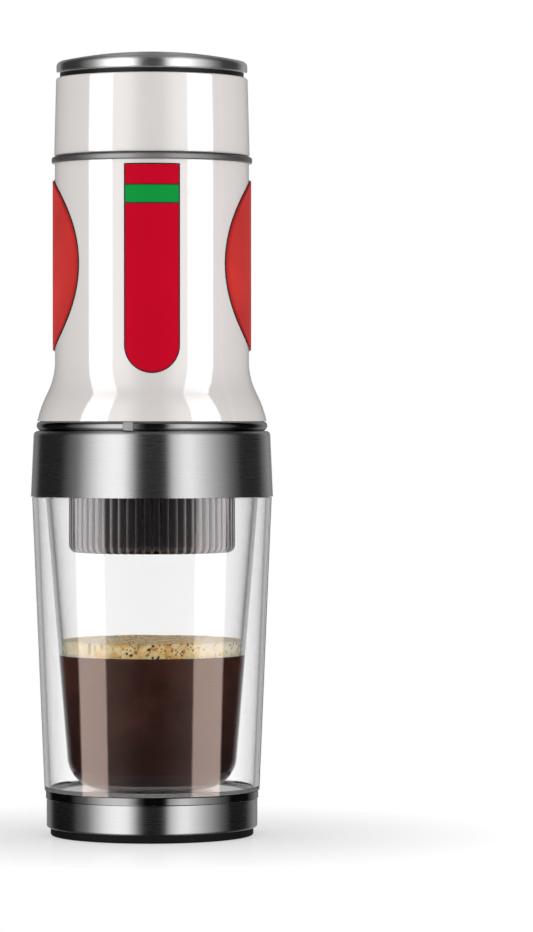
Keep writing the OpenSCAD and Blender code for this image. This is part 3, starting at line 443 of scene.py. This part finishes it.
def crema_material():
    """Fine golden foam with pale froth and dark bubbles; painted light makes its sides paler and closes most
    bubbles there, so they stay in the middle of its front.
    """
    made, tree, shader = material("crema", {
        "Roughness": 0.5, "Subsurface Weight": 0.15, "Subsurface Scale": 0.5 * MM,
        "Subsurface Radius": (1.0, 0.6, 0.3)})
    place = add(tree, "TexCoord").outputs["Object"]
    # Painted light: the mask smooth grows towards the foam's sides, where it pales the foam and closes
    # bubbles
    aside = calc(tree, "ABSOLUTE", add(tree, "SeparateXYZ", {"Vector": place}).outputs["X"])
    smooth = spread(tree, aside, 0.0, 1.0, *PAINTED_LIGHT_SIDES)
    froth = fog(tree, place, FROTH_WAVES, 4.0, 0.6)
    patches = fog(tree, place, PATCH_WAVES, 3.0, 0.55)
    tone = weigh(tree, FROTH_SHARE, froth, patches)
    tone = calc(tree, "ADD", tone, calc(tree, "MULTIPLY", smooth, PAINTED_LIGHT_PALENESS))
    stops = [(0.32, srgb(200, 138, 60)), (0.43, srgb(240, 188, 108)), (0.55, srgb(252, 224, 160)),
             (0.68, srgb(255, 248, 224))]
    foam = ramp(tree, tone, stops)
    closing = calc(tree, "ADD", spread(tree, patches, *PATCH_CLOSING, *PATCH_SPAN),
                   calc(tree, "MULTIPLY", smooth, PAINTED_LIGHT_CLOSING))
    large, cells = bubbles(tree, place, *LARGE_BUBBLES, closing)
    small = bubbles(tree, place, *SMALL_BUBBLES, closing)[0]
    foam = tint(tree, calc(tree, "MULTIPLY", small, SMALL_BUBBLE_SHARE), foam, srgb(132, 84, 34))
    tree.links.new(tint(tree, large, foam, srgb(88, 52, 24)), shader.inputs["Base Color"])
    bump(tree, shader, cells, BUBBLE_DEPTH, BUBBLE_RELIEF)
    return made


MATERIALS = {
    "shell_white": moulded(
        "shell_white", srgb(217, 212, 210), roughness=0.22, grain=0.22 * MM, grain_depth=0.002 * MM,
        contrast=0.02, extra={"IOR": 1.6, "Specular IOR Level": 1.0, "Coat Weight": 1.0, "Coat IOR": 1.7,
                              "Coat Roughness": 0.0}),
    "steel_brushed": turned_metal(
        "steel_brushed", grey(0.53), grey(0.59), roughness=0.28, streak_depth=0.002 * MM, anisotropy=1.0),
    "steel_polished": polished_metal("steel_polished", grey(0.34), grey(0.38), roughness=0.1, haze=0.02),
    "steel_plain": turned_metal(
        "steel_plain", grey(0.46), grey(0.6), roughness=0.34, streak_depth=0.006 * MM, anisotropy=0.4),
    "grip_chrome": ribbed_metal(
        "grip_chrome", srgb(186, 178, 180), srgb(200, 192, 194), roughness=0.12, groove_roughness=0.6),
    "plated_bright": polished_metal(
        "plated_bright", grey(0.78), grey(0.84), roughness=0.25, haze=0.05, metallic=0.3),
    # Painted light: a paler, matt copy of the plating, for the face seen through the cup's floor
    "painted_light_face": polished_metal(
        "painted_light_face", grey(0.88), grey(0.93), roughness=0.25, haze=0.05, metallic=0.0),
    "cup_clear": clear("cup_clear", grey(0.995), index=1.49, waviness=0.004 * MM),
    "cup_glass": clear("cup_glass", grey(0.995), index=1.47, waviness=0.004 * MM),
    "rubber_black": moulded(
        "rubber_black", srgb(17, 17, 18), roughness=0.6, grain=0.3 * MM, grain_depth=0.03 * MM,
        contrast=0.12, extra={"Specular IOR Level": 0.15}),
    "silicone": moulded(
        "silicone", srgb(205, 204, 198), roughness=0.48, grain=0.5 * MM, grain_depth=0.01 * MM,
        contrast=0.06, extra={"Subsurface Weight": 0.2, "Subsurface Scale": 1.0 * MM}),
    "inlay_red": moulded(
        "inlay_red", srgb(188, 0, 34), roughness=0.4, grain=0.25 * MM, grain_depth=0.003 * MM,
        contrast=0.06, extra={"Specular IOR Level": 0.05}),
    "inlay_green": moulded(
        "inlay_green", srgb(12, 142, 58), roughness=0.4, grain=0.25 * MM, grain_depth=0.003 * MM,
        contrast=0.06, extra={"Specular IOR Level": 0.05}),
    "pad_red": moulded(
        "pad_red", srgb(190, 38, 33), roughness=0.55, grain=0.35 * MM, grain_depth=0.04 * MM,
        contrast=0.2, extra={"Specular IOR Level": 0.12}),
    "plastic_dark": moulded(
        "plastic_dark", srgb(20, 20, 22), roughness=0.42, grain=0.3 * MM, grain_depth=0.01 * MM,
        contrast=0.08, extra={"Specular IOR Level": 0.3}),
    "plastic_grey": moulded(
        "plastic_grey", srgb(92, 94, 98), roughness=0.42, grain=0.3 * MM, grain_depth=0.01 * MM,
        contrast=0.08),
    "ring_satin": polished_metal("ring_satin", grey(0.3), grey(0.35), roughness=0.42, haze=0.05),
    "ring_mirror": polished_metal("ring_mirror", grey(0.28), grey(0.32), roughness=0.06, haze=0.01),
    # Painted light: a lighter copy of the turned steel, brightened because the cap's rounded band catches
    # less of the boxes' light
    "cap_steel_painted_light": turned_metal(
        "cap_steel_painted_light", grey(0.86), grey(0.94), roughness=0.3, streak_depth=0.002 * MM, anisotropy=0.95),
    "bronze": turned_metal(
        "bronze", srgb(150, 112, 58), srgb(190, 148, 84), roughness=0.32, streak_depth=0.006 * MM,
        anisotropy=0.4),
}

# Nodes whose finish differs from their slot's
NODE_FINISH = {"neck_ring": "ring_satin", "index_tab": "ring_satin", "top_cap": "cap_steel_painted_light",
               "base_trim_ring": "ring_mirror"}


def dress_nodes():
    """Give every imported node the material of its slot, or its own."""
    for part in frame["record"]["subparts"]:
        node = frame["nodes"][part["node"]]
        if not node.material_slots:
            node.data.materials.append(None)
        for place in node.material_slots:
            place.link = "OBJECT"
            place.material = MATERIALS[NODE_FINISH.get(part["node"], part["material_slot"])]


# Mesh helpers

def mesh_piece(name, points, faces, finish, smooth=True):
    """New mesh object in the part's frame."""
    data = bpy.data.meshes.new(name)
    data.from_pydata(points, [], faces)
    data.validate()
    data.polygons.foreach_set("use_smooth", [smooth] * len(data.polygons))
    data.materials.append(finish)
    piece = bpy.data.objects.new(name, data)
    bpy.context.scene.collection.objects.link(piece)
    return piece


def lathe(name, outline, finish, sides=160, wave=None):
    """Closed turned piece; the outline runs from axis to axis, and wave moves its points."""
    points = [Vector((0, 0, outline[0][1]))]
    for radius, height in outline[1:-1]:
        for side in range(sides):
            turn = 2 * math.pi * side / sides
            point = Vector((radius * math.cos(turn), radius * math.sin(turn), height))
            points.append(wave(point) if wave else point)
    points.append(Vector((0, 0, outline[-1][1])))
    rings = len(outline) - 2
    faces = [(0, 1 + (s + 1) % sides, 1 + s) for s in range(sides)]
    for ring in range(rings - 1):
        low = 1 + ring * sides
        for s in range(sides):
            t = (s + 1) % sides
            faces.append((low + s, low + t, low + sides + t, low + sides + s))
    last = 1 + (rings - 1) * sides
    faces += [(len(points) - 1, last + s, last + (s + 1) % sides) for s in range(sides)]
    return mesh_piece(name, points, faces, finish)


def tube(name, path, radius, finish, sides=12, closed=False):
    """Tube of round section along a path that runs round or along the part's axis."""
    count = len(path)
    points = []
    for step, middle in enumerate(path):
        before = path[step - 1] if closed or step > 0 else middle
        after = path[(step + 1) % count] if closed or step + 1 < count else middle
        along = (after - before).normalized()
        across = Vector((middle.x, middle.y, 0)).cross(along).normalized()
        outward = along.cross(across)
        for side in range(sides):
            turn = 2 * math.pi * side / sides
            points.append(middle + radius * (outward * math.cos(turn) + across * math.sin(turn)))
    faces = []
    for ring in range(count if closed else count - 1):
        low = ring * sides
        high = (ring + 1) % count * sides
        for s in range(sides):
            t = (s + 1) % sides
            faces.append((low + s, high + s, high + t, low + t))
    if not closed:
        last = (count - 1) * sides
        faces.append(tuple(range(sides)))
        faces.append(tuple(last + s for s in reversed(range(sides))))
    return mesh_piece(name, points, faces, finish)


# Filling of the cup

def cup_radius(height):
    """Outer radius of the inner cup's wall at a height."""
    share = (height - CUP_FOOT_Z) / (CUP_TOP_Z - CUP_FOOT_Z)
    return CUP_FOOT_R + share * (CUP_TOP_R - CUP_FOOT_R)


def fill_radius(height):
    """Radius of the filling where it meets the straight part of the wall."""
    return cup_radius(height) - (CUP_WALL - FILL_OVERLAP) / math.cos(CUP_LEAN)


def foam_radius(height):
    """Radius of the foam, which wets the wall less than the coffee does."""
    return cup_radius(height) - (CUP_WALL - FOAM_OVERLAP) / math.cos(CUP_LEAN)


def coffee():
    """The brewed coffee, from the round floor of the inner cup up to the foam."""
    inset = CUP_WALL - FILL_OVERLAP
    corner_z = CUP_FOOT_Z + CUP_CORNER
    corner_r = cup_radius(corner_z) - CUP_CORNER / math.cos(CUP_LEAN)
    floor_z = CUP_FOOT_Z + inset + FLOOR_GAP
    outline = [(0, floor_z), (corner_r / 2, floor_z)]
    for step in range(CORNER_STEPS + 1):
        share = step / CORNER_STEPS
        turn = -math.pi / 2 + share * (math.pi / 2 - CUP_LEAN)
        reach = CUP_CORNER - inset - FLOOR_GAP * max(0.0, 1 - share / FLOOR_GAP_SHARE)
        outline.append((corner_r + reach * math.cos(turn), corner_z + reach * math.sin(turn)))
    top_r = fill_radius(COFFEE_Z)
    outline += [(top_r, COFFEE_Z), (top_r / 2, COFFEE_Z), (0, COFFEE_Z)]
    return lathe("coffee", outline, coffee_material())


def crema(finish):
    """The foam, with an uneven foot and a crust that climbs a little at the wall."""
    def wave(point):
        swell = sum(noise.noise(point * scale) * share for scale, share in FOAM_WAVES)
        outward = point.xy.length / foam_radius(point.z)
        climb = max(0.0, outward - CLIMB_FROM_SHARE) / (1 - CLIMB_FROM_SHARE)
        height = point.z + swell * FOAM_SWELL
        if point.z > CLIMB_FROM_Z:
            height += climb * FOAM_CLIMB
        reach = min(1.0, foam_radius(height) / foam_radius(point.z))
        return Vector((point.x * reach, point.y * reach, height))

    foot_r = foam_radius(FOAM_FOOT_Z)
    outline = [(0, FOAM_FOOT_Z), (foot_r / 2, FOAM_FOOT_Z), (foot_r - FOAM_FOOT_GAP, FOAM_FOOT_Z)]
    outline += [(foam_radius(height), height) for height in FOAM_SIDE_Z]
    outline += [(foam_radius(CREMA_Z) * share, CREMA_Z) for share in FOAM_SHARES]
    outline.append((0, CREMA_Z))
    return lathe("crema", outline, finish, FOAM_TURN_STEPS, wave)


dress_nodes()
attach(coffee(), "cup")
foam = crema(crema_material())
foam.visible_glossy = False
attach(foam, "cup")


# Pale matt face of the base insert, painted light under the coffee

def insert_face():
    """Thin pale matt sheet on the insert, wetted to the cup's floor so that it shows through it; it paints
    light under the coffee.
    """
    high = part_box("base_insert")[1]
    radius = high.x - FACE_MARGIN
    foot = high.z - FACE_SINK
    head = high.z + FILL_OVERLAP
    outline = [(0, foot), (radius, foot), (radius, head), (0, head)]
    return lathe("insert_face", outline, MATERIALS["painted_light_face"])


plating = insert_face()
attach(plating, "cup")


# Springs and screw thread

def spring_path(middle_r, wire_r, turns, foot, head):
    """Centre line of a compression spring with one closed turn at each end."""
    length = head - foot - 2 * wire_r
    closed = 2 * wire_r + SPRING_CLOSE
    path = []
    for step in range(turns * SPRING_STEPS + 1):
        t = step / SPRING_STEPS
        if t < 1:
            height = closed * t
        elif t > turns - 1:
            height = length - closed * (turns - t)
        else:
            height = closed + (length - 2 * closed) * (t - 1) / (turns - 2)
        turn = 2 * math.pi * t
        path.append(Vector((middle_r * math.cos(turn), middle_r * math.sin(turn), foot + wire_r + height)))
    return path


def return_spring():
    """Round-wire spring that lifts the pump head; it stretches between the body and the plunger."""
    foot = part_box("pump_base")[1].z
    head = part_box("spring_seat")[0].z
    middle_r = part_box("return_spring")[1].x - RETURN_WIRE_R
    path = spring_path(middle_r, RETURN_WIRE_R, RETURN_TURNS, foot, head)
    piece = tube("return_spring_wire", path, RETURN_WIRE_R, MATERIALS["steel_plain"])
    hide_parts("return_spring")
    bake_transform(piece)


def valve_spring():
    """Round-wire spring under the valve's ball."""
    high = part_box("valve_spring")[1]
    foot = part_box("valve_retainer")[1].z
    middle_r = high.x - VALVE_WIRE_R
    path = spring_path(middle_r, VALVE_WIRE_R, VALVE_TURNS, foot, high.z)
    piece = tube("valve_spring_wire", path, VALVE_WIRE_R, MATERIALS["steel_plain"], FINE_SIDES)
    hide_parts("valve_spring")
    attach(piece, "brewer")
    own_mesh(piece)


def thread(name, radius, start):
    """One helical tooth of the filter holder's screw thread, sunk in the wall that carries it."""
    path = []
    for step in range(int(THREAD_TURNS * THREAD_STEPS) + 1):
        t = step / THREAD_STEPS
        turn = start + 2 * math.pi * t
        height = THREAD_FOOT + THREAD_PITCH * t
        path.append(Vector((radius * math.cos(turn), radius * math.sin(turn), height)))
    return tube(name, path, THREAD_TOOTH_R, MATERIALS["plastic_dark"], FINE_SIDES)


return_spring()
valve_spring()
spigot_thread = thread("spigot_thread", SPIGOT_R - THREAD_TOOTH_R + SPIGOT_TOOTH, 0.0)
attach(spigot_thread, "brewer")
holder_thread = thread("holder_thread", HOLDER_BORE_R + THREAD_TOOTH_R - HOLDER_TOOTH, math.pi)
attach(holder_thread, "holder")


# Painted shadow lines in the seams round the stripe and the pads

def skin(node):
    """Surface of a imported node, for finding points on it."""
    data = frame["nodes"][node].data
    return BVHTree.FromPolygons([v.co for v in data.vertices], [p.vertices for p in data.polygons])


def on_skin(surface, outward, aside, height):
    """Point that is met from outside, against a level direction, at an offset to its left and a height."""
    left = Vector((-outward.y, outward.x, 0))
    return surface.ray_cast(outward * SKIN_REACH + left * aside + Vector((0, 0, height)), -outward)[0]


def seam_shadow(name, path, radius, closed=True):
    """Dark tube in a seam of the shell, a painted shadow line."""
    # Painted shade: a dark tube stands in for the shadow in the gap
    piece = tube(name, path, radius, MATERIALS["plastic_dark"], SEAM_SHADOW_SIDES, closed)
    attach(piece, "brewer")


def stripe_seam_shadows():
    """Painted shadow lines round the stripe and along both edges of its cross band."""
    low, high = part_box("stripe_inlay")
    half = high.x + SEAM_OUT
    head = high.z + SEAM_OUT
    round_z = low.z - SEAM_OUT + half
    turns = [math.pi * step / ROUND_STEPS for step in range(ROUND_STEPS + 1)]
    outline = [(-half * math.cos(turn), round_z - half * math.sin(turn)) for turn in turns]
    rises = [(head - round_z) * step / SIDE_STEPS for step in range(1, SIDE_STEPS)]
    outline += [(half, round_z + rise) for rise in rises]
    outline += [(half - 2 * half * step / HEAD_STEPS, head) for step in range(HEAD_STEPS + 1)]
    outline += [(-half, round_z + rise) for rise in reversed(rises)]
    front = Vector((0, -1, 0))
    shell = skin("body_shell")
    seam_shadow("stripe_seam_shadow", [on_skin(shell, front, across, height) for across, height in outline], STRIPE_SHADOW_R)
    band_skin = skin("stripe_band")
    low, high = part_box("stripe_band")
    inside = BAND_SHADOW_R / 2
    for name, height in (("band_seam_shadow_low", low.z + inside), ("band_seam_shadow_high", high.z - inside)):
        reaches = [(high.x - inside) * (2 * step / BAND_STEPS - 1) for step in range(BAND_STEPS + 1)]
        seam_shadow(name, [on_skin(band_skin, front, reach, height) for reach in reaches], BAND_SHADOW_R, False)


def pad_seam_shadow(name, node, turn):
    """Painted shadow line round one pad, whose round outline is wrapped on the body."""
    low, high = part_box(node)
    radius = (high.z - low.z) / 2 + SEAM_OUT
    middle = (low.z + high.z) / 2
    outward = Vector((math.sin(turn), -math.cos(turn), 0))
    shell = skin("body_shell")
    path = []
    for step in range(PAD_STEPS):
        around_pad = 2 * math.pi * step / PAD_STEPS
        aside = BODY_R * math.sin(radius * math.cos(around_pad) / BODY_R)
        path.append(on_skin(shell, outward, aside, middle + radius * math.sin(around_pad)))
    seam_shadow(name, path, PAD_SHADOW_R)


stripe_seam_shadows()
pad_seam_shadow("pad_seam_shadow_left", "side_pad_left", -PAD_TURN)
pad_seam_shadow("pad_seam_shadow_right", "side_pad_right", PAD_TURN)


# Studio

def around(tree, position, table):
    """Share of light at a position round the part."""
    return ramp(tree, position, [(angle / 360 + 0.5, grey(share)) for angle, share in table])


def studio_world():
    """Tall soft boxes with dark flags between them, a white backdrop, and soft light on matt surfaces."""
    world = bpy.data.worlds.new("studio")
    bpy.context.scene.world = world
    world.use_nodes = True
    world.cycles.sampling_method = "NONE"
    tree = world.node_tree
    ray = add(tree, "SeparateXYZ", {"Vector": add(tree, "TexCoord").outputs["Generated"]}).outputs
    turn = calc(tree, "ARCTAN2", ray["X"], calc(tree, "MULTIPLY", ray["Y"], -1.0))
    position = spread(tree, turn, 0.0, 1.0, -math.pi, math.pi)
    height = calc(tree, "ABSOLUTE", ray["Z"])
    path = add(tree, "LightPath").outputs
    scattered = calc(tree, "GREATER_THAN", path["Diffuse Depth"], 0.5)
    mirrored = calc(tree, "GREATER_THAN", path["Glossy Depth"], 0.5)
    in_wall = calc(tree, "GREATER_THAN", path["Transmission Depth"], 0.5)
    in_cup = calc(tree, "GREATER_THAN", path["Transmission Depth"], INSIDE_CROSSINGS)

    sharp = choose(tree, in_wall, around(tree, position, CUP_LIGHTS), around(tree, position, WALL_LIGHTS))
    sharp = choose(tree, in_cup, sharp, around(tree, position, INSIDE_LIGHTS))
    sharp = calc(tree, "MULTIPLY", sharp, spread(tree, height, CUP_LEVEL, 0.0, *CUP_HEIGHT))
    back = calc(tree, "MULTIPLY", around(tree, position, BACK_LIGHTS),
                spread(tree, ray["Z"], 1.0, 0.0, *BACK_HEIGHT))
    boxes = calc(tree, "MULTIPLY", calc(tree, "ADD", around(tree, position, OPEN_LIGHTS), back),
                 spread(tree, height, OPEN_LEVEL, 0.0, *OPEN_HEIGHT))
    top = spread(tree, ray["Z"], SURROUND_LEVEL, TOP_LEVEL, *TOP_HEIGHT)
    gloss = calc(tree, "ADD", choose(tree, path["Is Singular Ray"], boxes, sharp), top)
    soft = calc(tree, "ADD", spread(tree, ray["Y"], SOFT_FRONT, SOFT_BACK, -1.0, 1.0),
                calc(tree, "MULTIPLY", calc(tree, "ABSOLUTE", ray["X"]), SOFT_SIDE))
    through = spread(tree, around(tree, position, BACKDROP), THROUGH_SIDE, THROUGH_BACK)
    level = choose(tree, mirrored, through, gloss)
    level = choose(tree, scattered, level, soft)
    level = choose(tree, path["Is Camera Ray"], level, 1.0)
    low = calc(tree, "MULTIPLY", spread(tree, ray["Z"], 1.0, 0.0, *WARM_HEAD),
               spread(tree, ray["Z"], 0.0, 1.0, *WARM_FOOT))
    front = calc(tree, "LESS_THAN", ray["Y"], 0.0)
    warm = calc(tree, "MULTIPLY", calc(tree, "MULTIPLY", low, front),
                calc(tree, "MULTIPLY", mirrored, path["Is Singular Ray"]))
    warm = choose(tree, in_wall, warm, 0.0)
    colour = tint(tree, warm, grey(1.0), WARM)
    light = add(tree, "VectorMath", {0: colour, "Scale": level}, operation="SCALE").outputs["Vector"]
    tree.links.new(light, tree.nodes["Background"].inputs["Color"])


def floor():
    """White floor that keeps the part's shadow and a faint reflection, and is clear from below."""
    half = FLOOR_HALF
    height = -FLOOR_DROP
    corners = [(-half, -half, height), (half, -half, height), (half, half, height), (-half, half, height)]
    made = bpy.data.materials.new("floor_white")
    made.use_nodes = True
    tree = made.node_tree
    tree.nodes.remove(tree.nodes["Principled BSDF"])
    matt = add(tree, "BsdfDiffuse", {"Color": grey(FLOOR_MATT)})
    gloss = add(tree, "BsdfGlossy", {"Color": grey(FLOOR_GLOSS), "Roughness": FLOOR_ROUGHNESS})
    sheen = add(tree, "MixShader", {0: FLOOR_SHEEN, 1: matt.outputs[0], 2: gloss.outputs[0]})
    place = add(tree, "TexCoord").outputs["Object"]
    reach = add(tree, "VectorMath", {0: place}, operation="LENGTH").outputs["Value"]
    far = spread(tree, reach, FLOOR_NEAR, 1.0, *FLOOR_FADE)
    path = add(tree, "LightPath").outputs
    strength = choose(tree, path["Is Camera Ray"], THROUGH_BACK, 1.0)
    white = add(tree, "Emission", {"Color": grey(1.0), "Strength": strength})
    clear_view = calc(tree, "LESS_THAN", calc(tree, "ADD", path["Glossy Depth"], path["Diffuse Depth"]), 0.5)
    whitened = calc(tree, "MULTIPLY", far, clear_view)
    mixed = add(tree, "MixShader", {0: whitened, 1: sheen.outputs[0], 2: white.outputs[0]})
    mirrored = calc(tree, "GREATER_THAN", path["Glossy Depth"], 0.5)
    open_floor = add(tree, "BsdfTransparent")
    below = add(tree, "NewGeometry").outputs["Backfacing"]
    hidden = calc(tree, "MAXIMUM", mirrored, below)
    surface = add(tree, "MixShader", {0: hidden, 1: mixed.outputs[0], 2: open_floor.outputs[0]})
    tree.links.new(surface.outputs[0], tree.nodes["Material Output"].inputs["Surface"])
    piece = mesh_piece("floor", corners, [(0, 1, 2, 3)], made, False)


def camera():
    """The photograph's camera."""
    data = bpy.data.cameras.new("camera")
    data.lens = CAMERA_LENS
    data.sensor_fit = "VERTICAL"
    data.sensor_height = CAMERA_SENSOR
    made = bpy.data.objects.new("camera", data)
    made.location = CAMERA_PLACE
    made.rotation_euler = (math.pi / 2 - CAMERA_PITCH, 0, -CAMERA_YAW)
    bpy.context.scene.collection.objects.link(made)
    bpy.context.scene.camera = made


studio_world()
floor()
camera()
bpy.context.scene.view_settings.view_transform = "Standard"
bpy.context.scene.cycles.blur_glossy = 0.0
bpy.context.scene.cycles.max_bounces = CLEAR_BOUNCES
bpy.context.scene.cycles.diffuse_bounces = SOFT_BOUNCES
bpy.context.scene.cycles.transmission_bounces = CLEAR_BOUNCES
